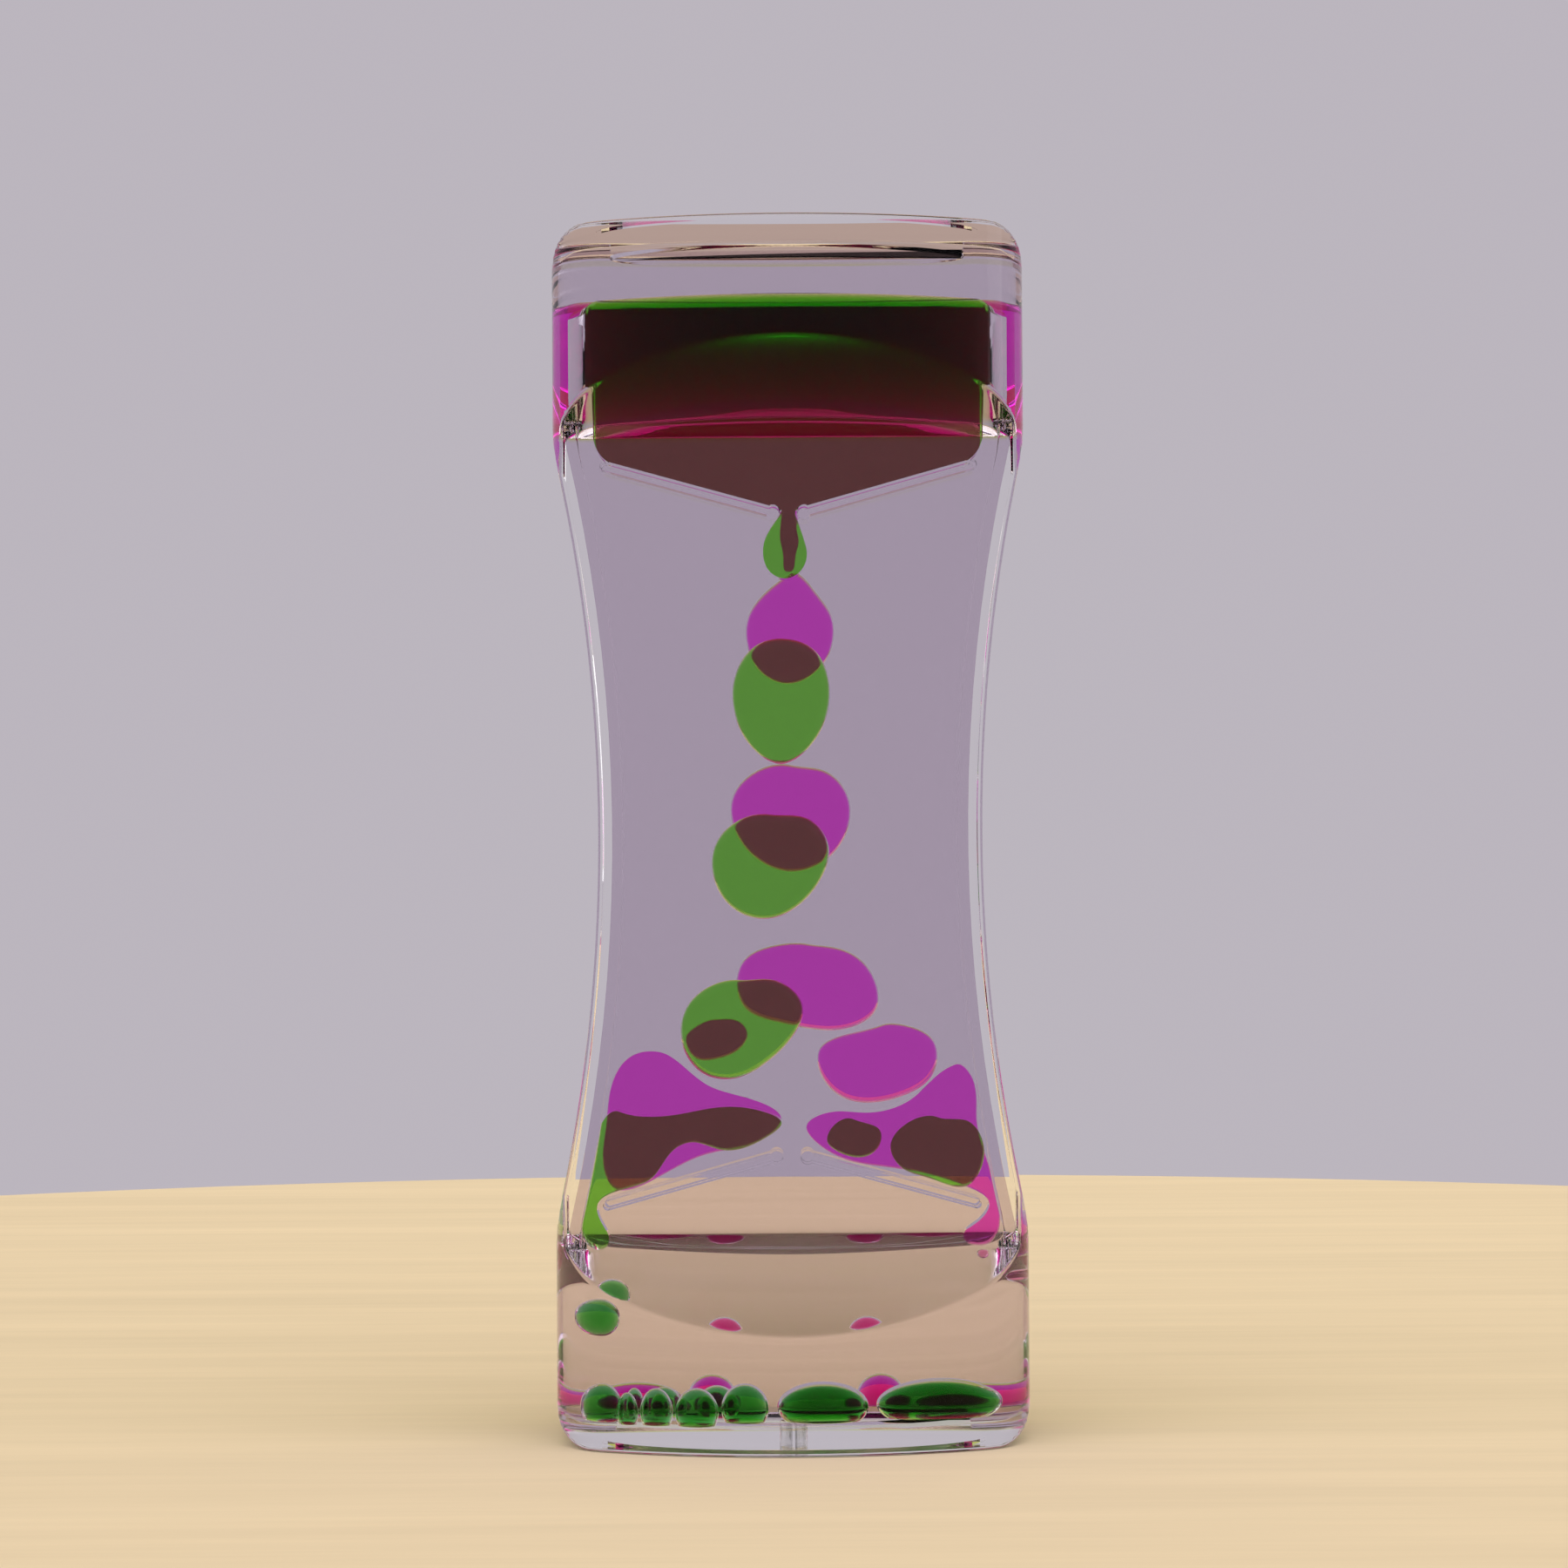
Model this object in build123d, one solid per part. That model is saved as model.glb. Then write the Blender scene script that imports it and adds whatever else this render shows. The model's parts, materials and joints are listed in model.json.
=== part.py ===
"""Liquid motion timer: a clear hourglass-shaped body with two flat cells back to back.

Each cell is full of clear oil. Dyed liquid, green in the front cell and magenta in the rear one,
pools above two sloping baffles, falls through the neck between them in drops, spreads over two more
baffles, and runs down past their ends to the floor. The body is turned over to start it again.

Millimetres, +Z up, +X to the right, front face towards -Y, origin at the centre of the base.
The pieces are built about the middle of the body and moved up by half its height at the end.
"""

import os
from math import cos, hypot, radians, sqrt, tan

from build123d import *

# Body
body_width = 50.0
body_depth = 30.0
body_height = 128.0
wall = 2.5
corner_radius = 4.0  # of the four corners in front view
front_bow_rise = 6.7  # how far the front and back of the end blocks bow out over the width
side_bow_radius = 27.0
side_crown = 0.2  # height of the side bow that is left flat
plan_corner_radius = 9.0
waist_width = 40.4
waist_half_height = 41.7  # from mid height to the ends of the waist
waist_blend_radius = 8.0
middle_depth = 14.0
slope_start = 43.0  # from mid height to where the front leaves the thin middle
slope_end = 51.6  # and to where it reaches the full depth
slope_blend_radius = 2.2
overrun = 2.0  # past the body, for cuts and construction solids

# Divider sheet between the cells
divider_thickness = 1.2
rebate = 1.2  # how far the sheet is let into the walls and plugs

# Oval plugs in the end walls
plug_width = 37.0
plug_depth = 19.2
plug_flange = 1.2
flange_thickness = 1.0
plug_recess = 0.2
plug_rise = 0.4
plug_edge_radius = 0.3
port_diameter = 2.6
port_offset = 6.0  # from the divider's plane
pin_length = 1.8

# Baffles, which stand in the thin middle from the wall to the divider
baffle_thickness = 1.0
baffle_slope = 15.5  # degrees
neck_gap = 1.8
neck_bead_radius = 0.75
neck_half_height = 34.1  # from mid height to the middle of the beads
baffle_side_gap = 2.0

# Liquids
film = 0.1  # of oil between a dyed liquid and the walls
rim_share = 0.18  # of a flat drop's thickness, its rounded rim
small_rim_share = 0.09  # and that of the smallest flat drop
pool_level = 55.9  # above mid height, in the front cell
rear_level_lift = 0.9  # how much higher the rear cell's pool stands
pool_side_gap = 1.9  # of oil beside the pool
pool_foot_radius = 3.3
pool_top_radius = 1.2

front_bow_radius = ((body_width / 2) ** 2 + front_bow_rise**2) / (2 * front_bow_rise)
cell_gap = middle_depth / 2 - wall - divider_thickness / 2
cavity_half_width = body_width / 2 - wall
cavity_half_height = body_height / 2 - wall

# Outlines in front view, as shares of the cavity's half width and half height from its middle.
GREEN_DROP_1_SHARES = [(-0.038, 0.337), (-0.196, 0.313), (-0.266, 0.261), (-0.26, 0.207), (-0.194, 0.156),
                       (-0.041, 0.121), (0.111, 0.157), (0.179, 0.207), (0.189, 0.261), (0.124, 0.315)]
GREEN_DROP_2_SHARES = [(-0.098, 0.035), (-0.247, 0.024), (-0.358, -0.02), (-0.357, -0.081),
                       (-0.259, -0.13), (-0.101, -0.145), (0.04, -0.122), (0.141, -0.079), (0.18, -0.018),
                       (0.079, 0.028)]
GREEN_DROP_3_SHARES = [(-0.243, -0.249), (-0.38, -0.259), (-0.497, -0.298), (-0.513, -0.36),
                       (-0.41, -0.411), (-0.246, -0.417), (-0.118, -0.392), (-0.012, -0.356),
                       (0.055, -0.293), (-0.087, -0.249)]
MAGENTA_DROP_1_SHARES = [(0.005, 0.453), (-0.122, 0.417), (-0.197, 0.376), (-0.2, 0.328), (-0.137, 0.282),
                         (0.002, 0.261), (0.137, 0.285), (0.206, 0.328), (0.206, 0.376), (0.134, 0.418)]
MAGENTA_DROP_2_SHARES = [(0.006, 0.121), (-0.154, 0.112), (-0.274, 0.065), (-0.254, 0), (-0.149, -0.045),
                         (0.003, -0.065), (0.16, -0.047), (0.265, 0), (0.278, 0.064), (0.163, 0.111)]
MAGENTA_DROP_3_SHARES = [(0.079, -0.189), (-0.089, -0.192), (-0.233, -0.221), (-0.227, -0.297),
                         (-0.06, -0.326), (0.078, -0.336), (0.238, -0.338), (0.404, -0.303),
                         (0.364, -0.23), (0.215, -0.196)]
MAGENTA_DROP_4_SHARES = [(0.427, -0.33), (0.306, -0.342), (0.127, -0.374), (0.153, -0.426),
                         (0.278, -0.461), (0.408, -0.464), (0.537, -0.452), (0.666, -0.418),
                         (0.681, -0.362), (0.556, -0.332)]
MAGENTA_DROPLET_SHARES = [(-0.359, -0.318), (-0.447, -0.329), (-0.512, -0.358), (-0.447, -0.388),
                          (-0.35, -0.388), (-0.248, -0.372), (-0.205, -0.343), (-0.258, -0.32)]
GREEN_PENDANT_SHARES = [(-0.033, 0.579), (-0.035, 0.554), (-0.059, 0.539), (-0.109, 0.509),
                        (-0.121, 0.483), (-0.089, 0.451), (-0.017, 0.439), (0.059, 0.453), (0.087, 0.483),
                        (0.069, 0.511), (0.045, 0.537), (0.033, 0.554), (0.033, 0.579)]
MAGENTA_STREAM_SHARES = [(-0.033, 0.581), (-0.034, 0.551), (-0.04, 0.511), (-0.026, 0.481), (-0.01, 0.456),
                         (0.01, 0.456), (0.034, 0.483), (0.05, 0.509), (0.04, 0.534), (0.033, 0.581)]
MAGENTA_LEFT_PUDDLE_SHARES = [(-0.656, -0.373), (-0.801, -0.395), (-0.854, -0.434), (-0.879, -0.502),
                              (-0.894, -0.567), (-0.864, -0.602), (-0.447, -0.557), (-0.099, -0.517),
                              (-0.05, -0.494), (-0.189, -0.457), (-0.407, -0.43), (-0.556, -0.386)]
GREEN_LEFT_PUDDLE_SHARES = [(-0.81, -0.473), (-0.495, -0.476), (-0.159, -0.472), (-0.048, -0.495),
                            (-0.119, -0.519), (-0.348, -0.539), (-0.466, -0.527), (-0.561, -0.542),
                            (-0.654, -0.587), (-0.822, -0.61), (-0.911, -0.632), (-0.892, -0.664),
                            (-0.857, -0.694), (-0.892, -0.72), (-0.959, -0.706), (-0.986, -0.664),
                            (-0.966, -0.61), (-0.926, -0.549), (-0.897, -0.496)]
MAGENTA_RIGHT_PUDDLE_SHARES = [(0.773, -0.399), (0.699, -0.414), (0.566, -0.458), (0.341, -0.481),
                               (0.167, -0.481), (0.068, -0.504), (0.129, -0.537), (0.45, -0.576),
                               (0.835, -0.612), (0.929, -0.639), (0.884, -0.668), (0.815, -0.69),
                               (0.825, -0.724), (0.894, -0.734), (0.964, -0.701), (0.979, -0.646),
                               (0.934, -0.577), (0.874, -0.493), (0.848, -0.418)]
GREEN_RIGHT_BLOB_SHARES = [(0.684, -0.486), (0.538, -0.496), (0.46, -0.536), (0.505, -0.57),
                           (0.644, -0.591), (0.823, -0.603), (0.886, -0.573), (0.891, -0.525),
                           (0.825, -0.493)]
GREEN_NECK_BLOB_SHARES = [(0.292, -0.489), (0.188, -0.502), (0.164, -0.526), (0.223, -0.546),
                          (0.342, -0.553), (0.406, -0.536), (0.415, -0.51)]
# Round beads: place across and up, and radius as a share of the cavity's half width
GREEN_DROPLET_SHARES = (-0.846, -0.825, 0.088)
MAGENTA_TINY_DROPLET_SHARES = (0.9, -0.765, 0.03)
# Beads on the floor: place across and back from the divider, half width, half depth and half
# height, all as shares of the cavity's half width. They lie apart until they merge.
GREEN_FLOOR_BEAD_SHARES = [(-0.84, 0.17, 0.085, 0.107, 0.111), (-0.745, 0.319, 0.052, 0.075, 0.095),
                           (-0.612, 0.339, 0.077, 0.09, 0.11), (-0.431, 0.376, 0.1, 0.11, 0.113),
                           (-0.216, 0.376, 0.108, 0.12, 0.115), (-0.695, 0.12, 0.045, 0.07, 0.085),
                           (-0.56, 0.13, 0.08, 0.09, 0.09), (-0.33, 0.135, 0.09, 0.1, 0.095),
                           (0.129, 0.316, 0.203, 0.19, 0.116), (0.64, 0.225, 0.28, 0.185, 0.116)]
MAGENTA_FLOOR_BEAD_SHARES = [(-0.64, 0.33, 0.19, 0.11, 0.085), (-0.33, 0.41, 0.1, 0.1, 0.105),
                             (0.355, 0.41, 0.1, 0.1, 0.105), (0.68, 0.32, 0.2, 0.11, 0.085)]
floor_bead_lift_share = 0.55  # of its half height, from the floor to the middle of a bead

FRONT, REAR = -1, 1  # the sides of the divider, along Y
LEFT, RIGHT = -1, 1
UPPER, LOWER = 1, -1


# Outer form

def waist_radius():
    """Radius of the arcs that draw the sides in at the waist."""
    bite = (body_width - waist_width) / 2
    return (waist_half_height**2 + bite**2) / (2 * bite)


def half_width_at(height):
    """Half the outer width at a height from the middle of the waist."""
    radius = waist_radius()
    return waist_width / 2 + radius - sqrt(radius**2 - height**2)


def plan_outline(inset):
    """Oval plan of the end blocks: four bowed sides that meet in rounded corners."""
    bow = front_bow_radius - body_depth / 2
    side = body_width / 2 + side_crown - side_bow_radius
    wide = Circle(front_bow_radius - inset)
    narrow = Circle(side_bow_radius - inset)
    oval = Pos(0, bow) * wide & Pos(0, -bow) * wide & Pos(side, 0) * narrow & Pos(-side, 0) * narrow
    return fillet(oval.vertices(), plan_corner_radius - inset)


def front_outline(inset):
    """Upright rectangle with rounded corners and sides drawn in at the waist."""
    radius = waist_radius()
    width, height = body_width - 2 * inset, body_height - 2 * inset
    outline = RectangleRounded(width, height, corner_radius - inset)
    for side in (LEFT, RIGHT):
        outline -= Pos(side * (waist_width / 2 + radius), 0) * Circle(radius + inset)
    limit = (body_height / 2 - corner_radius + waist_half_height) / 2
    joints = outline.vertices().filter_by(lambda v: abs(v.Y) < limit)
    return fillet(joints, waist_blend_radius - inset)


def side_outline(inset):
    """Side view: thick ends that slope down to a thin middle."""
    thin, thick = middle_depth / 2 - inset, body_depth / 2 + overrun - inset
    rise = slope_end - slope_start
    run = body_depth / 2 - middle_depth / 2
    start = slope_start + inset * (hypot(rise, run) - rise) / run
    end = start + (thick - thin) * rise / run
    top = body_height / 2 + overrun
    quarter = [(thin, start), (thick, end), (thick, top)]
    upper = quarter + [(-y, z) for y, z in reversed(quarter)]
    lower = [(y, -z) for y, z in reversed(upper)]
    outline = Polygon(*upper, *lower, align=None)
    joints = outline.vertices().filter_by(lambda v: abs(v.Y) < (start + end) / 2)
    return fillet(joints, slope_blend_radius + inset)


def body_room(inset):
    """The body's outer form or, with an inset, the hollow that leaves a wall of that thickness."""
    column = extrude(plan_outline(inset), body_height, both=True)
    across = extrude(Plane.XZ * front_outline(inset), body_depth, both=True)
    along = extrude(Plane.YZ * side_outline(inset), body_width, both=True)
    return column & across & along


def slab(side, start):
    """All that lies on one side of the divider's middle plane, from a distance on."""
    middle = side * (start + body_depth / 2)
    return Pos(0, middle, 0) * Box(2 * body_width, body_depth, 2 * body_height)


def cell_room(side, clearance):
    """The room for liquid on one side of the divider, less a clearance along its walls."""
    return body_room(wall + clearance) & slab(side, divider_thickness / 2 + clearance)


# Solid pieces

def sheet_room():
    """The divider's sheet before the plugs are cut out of it."""
    thickness = Box(2 * body_width, divider_thickness, 2 * body_height)
    return body_room(wall - rebate) & thickness


def plug_hole():
    """Stepped oval hole through the lower end wall."""
    base = -body_height / 2
    step = plug_recess + flange_thickness
    wide = Ellipse(plug_width / 2, plug_depth / 2)
    narrow = Ellipse(plug_width / 2 - plug_flange, plug_depth / 2 - plug_flange)
    mouth = Pos(0, 0, base - overrun) * extrude(wide, overrun + step)
    return mouth + Pos(0, 0, base) * extrude(narrow, wall + overrun)


def shell(side):
    """Half of the body, moulded with a rebate for the divider and half of each plug's hole."""
    hole = plug_hole()
    half = body_room(0) & slab(side, 0)
    return half - body_room(wall) - sheet_room() - hole - mirror(hole, about=Plane.XY)


def port(side, length):
    """Cylinder along the filling port of one cell, from the plug's outer face."""
    start = -body_height / 2 + plug_recess
    return Pos(0, side * port_offset, start + length / 2) * Cylinder(port_diameter / 2, length)


def end_plug(with_ports):
    """Oval plug of the lower end wall, with a flange outside and a raised floor inside."""
    start = -body_height / 2 + plug_recess
    floor = -body_height / 2 + wall + plug_rise
    wide = Ellipse(plug_width / 2, plug_depth / 2)
    narrow = Ellipse(plug_width / 2 - plug_flange, plug_depth / 2 - plug_flange)
    body = Pos(0, 0, start) * extrude(narrow, floor - start)
    body = fillet(body.faces().sort_by(Axis.Z)[-1].edges(), plug_edge_radius)
    plug = body + Pos(0, 0, start) * extrude(wide, flange_thickness)
    groove = Pos(0, 0, floor) * Box(plug_width, divider_thickness, 2 * rebate)
    plug -= groove
    if with_ports:
        length = floor - start
        for side in (FRONT, REAR):
            plug -= port(side, length)
    return plug


def baffle(cell, level, side):
    """Sloping strip from the neck out towards a side wall, rounded at both ends."""
    start_x = neck_gap / 2 + neck_bead_radius
    end_height = neck_half_height + (waist_width / 2 - start_x) * tan(radians(baffle_slope))
    end_x = half_width_at(end_height) - wall - baffle_side_gap - baffle_thickness / 2
    length = (end_x - start_x) / cos(radians(baffle_slope))
    strip = Pos(length / 2, 0) * Rectangle(length, baffle_thickness)
    strip += Circle(neck_bead_radius)
    strip += Pos(length, 0) * Circle(baffle_thickness / 2)
    strip = Pos(start_x, neck_half_height) * Rot(0, 0, baffle_slope) * strip
    plate = extrude(Plane.XZ.offset(divider_thickness / 2) * strip, cell_gap)
    if cell == REAR:
        plate = mirror(plate, about=Plane.XZ)
    if side == LEFT:
        plate = mirror(plate, about=Plane.YZ)
    if level == LOWER:
        plate = mirror(plate, about=Plane.XY)
    return plate


# Liquids

def flat_outline(cell, shares):
    """Closed smooth outline at the divider's side of a dyed liquid, from its shares."""
    near = cell * (divider_thickness / 2 + film)
    points = [(x * cavity_half_width, near, z * cavity_half_height) for x, z in shares]
    return make_face(Spline(points, periodic=True))


def flat_drop(cell, shares, rim=rim_share):
    """Drop squeezed flat between the wall and the divider, with a rounded rim."""
    thickness = cell_gap - 2 * film
    drop = extrude(flat_outline(cell, shares), thickness, dir=(0, cell, 0))
    return fillet(drop.edges().filter_by(GeomType.BSPLINE), rim * thickness)


def flat_patch(cell, shares, plates):
    """Flat body of liquid with plain edges, cut to the room that the walls and baffles leave."""
    thickness = cell_gap - 2 * film
    patch = extrude(flat_outline(cell, shares), thickness, dir=(0, cell, 0))
    patch &= cell_room(cell, film)
    for plate in plates:
        patch -= plate
    return patch


def round_droplet(cell, shares):
    """Small round bead that is sinking in the lower block."""
    across, up, size = shares
    radius = size * cavity_half_width
    y = cell * (divider_thickness / 2 + film + radius)
    return Pos(across * cavity_half_width, y, up * cavity_half_height) * Sphere(radius)


def floor_beads(cell, table):
    """Flattened beads that have reached the floor of one cell."""
    room = cell_room(cell, film)
    plug = end_plug(False)
    floor = -body_height / 2 + wall + film
    raised = floor + plug_rise
    beads = []
    for across, back, wide, deep, high in table:
        x, y = across * cavity_half_width, cell * back * cavity_half_width
        size = tuple(share * cavity_half_width for share in (wide, deep, high))
        on_plug = (x / plug_width) ** 2 + (y / plug_depth) ** 2 < 1 / 4
        seat = raised if on_plug else floor
        bead = scale(Sphere(1), by=size)
        bead = Pos(x, y, seat + floor_bead_lift_share * size[2]) * bead
        bead = bead & room & Pos(0, 0, seat + body_height / 2) * Box(
            2 * body_width, 2 * body_depth, body_height)
        beads.append(bead - plug)
    return beads


def upper_pool(cell, tongue_shares, baffles):
    """Pool above the upper baffles, with the tongue that hangs from it through the neck."""
    side = body_width / 2 - wall - pool_side_gap
    foot = neck_half_height + side * tan(radians(baffle_slope))
    level = pool_level if cell == FRONT else pool_level + rear_level_lift
    half = [(side, foot), (side, level)]
    points = [(0, neck_half_height)] + half + [(-x, z) for x, z in reversed(half)]
    outline = Polygon(*points, align=None)
    for height, radius in ((foot, pool_foot_radius), (level, pool_top_radius)):
        corners = outline.vertices().filter_by(lambda v: abs(v.Y - height) < film)
        outline = fillet(corners, radius)
    pool = cell_room(cell, film) & extrude(Plane.XZ * outline, body_depth, both=True)
    for plate in baffles:
        pool -= plate
    return pool + flat_patch(cell, tongue_shares, baffles)


def clear_liquid(cell, solids):
    """The oil that fills the rest of a cell and the inner end of its port."""
    length = wall + plug_rise - plug_recess
    liquid = cell_room(cell, 0) + port(cell, length)
    for solid in solids:
        liquid -= solid
    return liquid


def write(nodes):
    """Writes each node with the origin at the centre of the base."""
    os.makedirs("parts", exist_ok=True)
    for name, shape in nodes.items():
        solids = shape if isinstance(shape, list) else [shape]
        placed = [Pos(0, 0, body_height / 2) * solid for solid in solids]
        piece = placed[0] if len(placed) == 1 else Compound(children=placed)
        export_step(piece, f"parts/{name}.step")


def baffles_of(cell):
    """The four baffles of one cell, by name."""
    levels = {"upper": UPPER, "lower": LOWER}
    sides = {"left": LEFT, "right": RIGHT}
    return {f"{level}_{side}_baffle": baffle(cell, levels[level], sides[side])
            for level in levels for side in sides}


def green_liquids(baffles):
    """Dyed liquid of the front cell, by node."""
    upper = [baffles["upper_left_baffle"], baffles["upper_right_baffle"]]
    left, right = [baffles["lower_left_baffle"]], [baffles["lower_right_baffle"]]
    blobs = [flat_patch(FRONT, GREEN_RIGHT_BLOB_SHARES, right),
             flat_patch(FRONT, GREEN_NECK_BLOB_SHARES, right)]
    return {
        "green_upper_pool": upper_pool(FRONT, GREEN_PENDANT_SHARES, upper),
        "green_drop_1": flat_drop(FRONT, GREEN_DROP_1_SHARES),
        "green_drop_2": flat_drop(FRONT, GREEN_DROP_2_SHARES),
        "green_drop_3": flat_drop(FRONT, GREEN_DROP_3_SHARES),
        "green_left_puddle": flat_patch(FRONT, GREEN_LEFT_PUDDLE_SHARES, left),
        "green_right_blobs": blobs,
        "green_droplet": round_droplet(FRONT, GREEN_DROPLET_SHARES),
        "green_floor_beads": floor_beads(FRONT, GREEN_FLOOR_BEAD_SHARES),
    }


def magenta_liquids(baffles):
    """Dyed liquid of the rear cell, by node."""
    upper = [baffles["upper_left_baffle"], baffles["upper_right_baffle"]]
    left, right = [baffles["lower_left_baffle"]], [baffles["lower_right_baffle"]]
    return {
        "magenta_upper_pool": upper_pool(REAR, MAGENTA_STREAM_SHARES, upper),
        "magenta_drop_1": flat_drop(REAR, MAGENTA_DROP_1_SHARES),
        "magenta_drop_2": flat_drop(REAR, MAGENTA_DROP_2_SHARES),
        "magenta_drop_3": flat_drop(REAR, MAGENTA_DROP_3_SHARES),
        "magenta_drop_4": flat_drop(REAR, MAGENTA_DROP_4_SHARES),
        "magenta_small_drop": flat_drop(REAR, MAGENTA_DROPLET_SHARES, small_rim_share),
        "magenta_left_puddle": flat_patch(REAR, MAGENTA_LEFT_PUDDLE_SHARES, left),
        "magenta_right_puddle": flat_patch(REAR, MAGENTA_RIGHT_PUDDLE_SHARES, right),
        "magenta_tiny_droplet": round_droplet(REAR, MAGENTA_TINY_DROPLET_SHARES),
        "magenta_floor_beads": floor_beads(REAR, MAGENTA_FLOOR_BEAD_SHARES),
    }


def flattened(shapes):
    """One list of the solids in a list of shapes and lists of shapes."""
    return [solid for shape in shapes
            for solid in (shape if isinstance(shape, list) else [shape])]


def main():
    nodes = {"front_shell": shell(FRONT), "rear_shell": shell(REAR)}
    nodes["bottom_plug"] = end_plug(True)
    nodes["top_plug"] = mirror(end_plug(False), about=Plane.XY)
    plugs = [nodes["bottom_plug"], nodes["top_plug"]]
    nodes["divider_sheet"] = sheet_room() - plugs[0] - plugs[1]
    for name, cell, dyed in (("front", FRONT, green_liquids), ("rear", REAR, magenta_liquids)):
        pin = port(cell, pin_length)
        baffles = baffles_of(cell)
        liquids = dyed(baffles)
        solids = plugs + [pin] + flattened(baffles.values()) + flattened(liquids.values())
        nodes[f"{name}_port_pin"] = pin
        nodes.update({f"{name}_{place}": plate for place, plate in baffles.items()})
        nodes.update(liquids)
        nodes[f"{name}_clear_liquid"] = clear_liquid(cell, solids)
    write(nodes)


main()
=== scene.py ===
"""Dresses the solids of a liquid motion timer: clear acrylic, clear oil and two dyed liquids.

Metres, +Z up, the front face towards -Y, origin at the centre of the base. The shells are worked
out from the timer's sizes; the other pieces start from their solids.
"""

import json
from math import atan2, hypot, pi, radians

import bmesh
import bpy
import numpy as np
from bpy.props import FloatProperty, FloatVectorProperty, IntProperty, PointerProperty
from mathutils import Matrix, Vector


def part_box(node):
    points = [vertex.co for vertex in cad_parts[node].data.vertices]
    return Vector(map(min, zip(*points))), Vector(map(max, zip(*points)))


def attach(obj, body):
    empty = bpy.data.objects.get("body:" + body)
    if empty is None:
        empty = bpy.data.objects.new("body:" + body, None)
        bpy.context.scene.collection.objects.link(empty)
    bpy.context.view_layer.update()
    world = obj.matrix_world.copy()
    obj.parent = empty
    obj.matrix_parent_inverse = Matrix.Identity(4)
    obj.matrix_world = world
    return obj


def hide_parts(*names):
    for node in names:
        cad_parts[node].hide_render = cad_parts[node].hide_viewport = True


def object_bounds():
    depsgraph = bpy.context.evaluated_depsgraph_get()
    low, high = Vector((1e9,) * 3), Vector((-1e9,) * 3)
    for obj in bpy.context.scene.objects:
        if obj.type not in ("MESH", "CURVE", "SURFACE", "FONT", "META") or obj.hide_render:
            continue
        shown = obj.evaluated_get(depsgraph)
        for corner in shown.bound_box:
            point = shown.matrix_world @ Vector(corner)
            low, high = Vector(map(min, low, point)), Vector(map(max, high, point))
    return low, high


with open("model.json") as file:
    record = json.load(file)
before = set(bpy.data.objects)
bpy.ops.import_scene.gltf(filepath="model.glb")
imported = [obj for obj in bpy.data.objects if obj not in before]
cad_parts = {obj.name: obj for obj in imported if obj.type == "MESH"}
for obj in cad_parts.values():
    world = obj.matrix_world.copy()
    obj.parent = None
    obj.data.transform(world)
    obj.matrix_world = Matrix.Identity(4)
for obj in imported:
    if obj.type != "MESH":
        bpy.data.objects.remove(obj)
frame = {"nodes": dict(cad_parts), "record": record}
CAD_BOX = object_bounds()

bl_info = {
    "name": "Liquid Motion Timer",
    "version": (1, 0, 0),
    "blender": (4, 5, 0),
    "location": "View3D > Sidebar > Timer",
    "description": "Builds the looks of a clear liquid motion timer round its solids",
    "category": "Add Mesh",
}

BODY_SIZE = CAD_BOX[1] - CAD_BOX[0]
BODY_NAME = "body"
CELLS = ("front", "rear")
DYES = ("green", "magenta")
SEAM = 0.00003  # kept between faces that would lie in each other
TO_AIR, TO_OIL, BONDED = 0, 1, 2  # material slots of a shell's and a plug's faces


def size_of(node):
    """Lengths of a node's box along X, Y and Z."""
    low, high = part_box(node)
    return high - low


# Properties

def length(label, default, text):
    """Property for a length in metres."""
    return FloatProperty(name=label, description=text, default=default, min=0.0, unit="LENGTH",
                         precision=5)


def number(label, default, text, low=0.0):
    """Property for a plain number."""
    return FloatProperty(name=label, description=text, default=default, min=low, precision=4)


def angle(label, degrees, text):
    """Property for an angle, given in degrees."""
    return FloatProperty(name=label, description=text, default=radians(degrees), unit="ROTATION")


def colour(label, default, text):
    """Property for a colour, in linear light."""
    return FloatVectorProperty(name=label, description=text, default=default, size=3, min=0.0, max=1.0,
                               subtype="COLOR")


class TimerBodySizes(bpy.types.PropertyGroup):
    """Sizes of the hourglass-shaped body."""

    width: length("Width", BODY_SIZE.x, "Width of the end blocks")
    depth: length("Depth", BODY_SIZE.y, "Depth of the end blocks")
    height: length("Height", BODY_SIZE.z, "Height of the body")
    wall: length("Wall", 0.0025, "Thickness of the walls")
    corner_radius: length("Corner radius", 0.004, "Radius of the four corners in front view")
    front_bow: length("Front bow", 0.049992, "Radius of the bowed front and back of the end blocks")
    side_bow: length("Side bow", 0.027, "Radius of their bowed sides")
    side_crown: length("Side crown", 0.0002, "Height of the side bow's crown that is cut off flat")
    plan_corner: length("Plan corner", 0.009, "Radius of the corners in plan")
    waist: length("Waist", 0.0404, "Width at the waist")
    waist_reach: length("Waist reach", 0.0417, "From mid height to the ends of the waist")
    waist_blend: length("Waist blend", 0.008, "Radius where the waist meets the straight sides")
    middle: length("Middle depth", 0.014, "Depth of the thin middle")
    slope_start: length("Slope start", 0.043, "From mid height to where the slope leaves the middle")
    slope_rise: length("Slope rise", 0.0086, "Height over which the slope would gain its run")
    slope_run: length("Slope run", 0.008, "Depth that the slope gains over its rise")
    slope_blend: length("Slope blend", 0.0022, "Radius where the slope meets the thin middle")
    edge: length("Edge radius", 0.0005, "Radius of the body's edges")
    inner_edge: length("Inner edge radius", 0.0004, "Radius of the cells' edges")
    plug_recess: length("Plug recess", 0.0002, "Depth of the plugs below the end faces")
    flange: length("Plug flange", 0.0012, "Width of the plugs' flange")
    flange_thickness: length("Flange thickness", 0.001, "Thickness of the plugs' flange")


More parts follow.
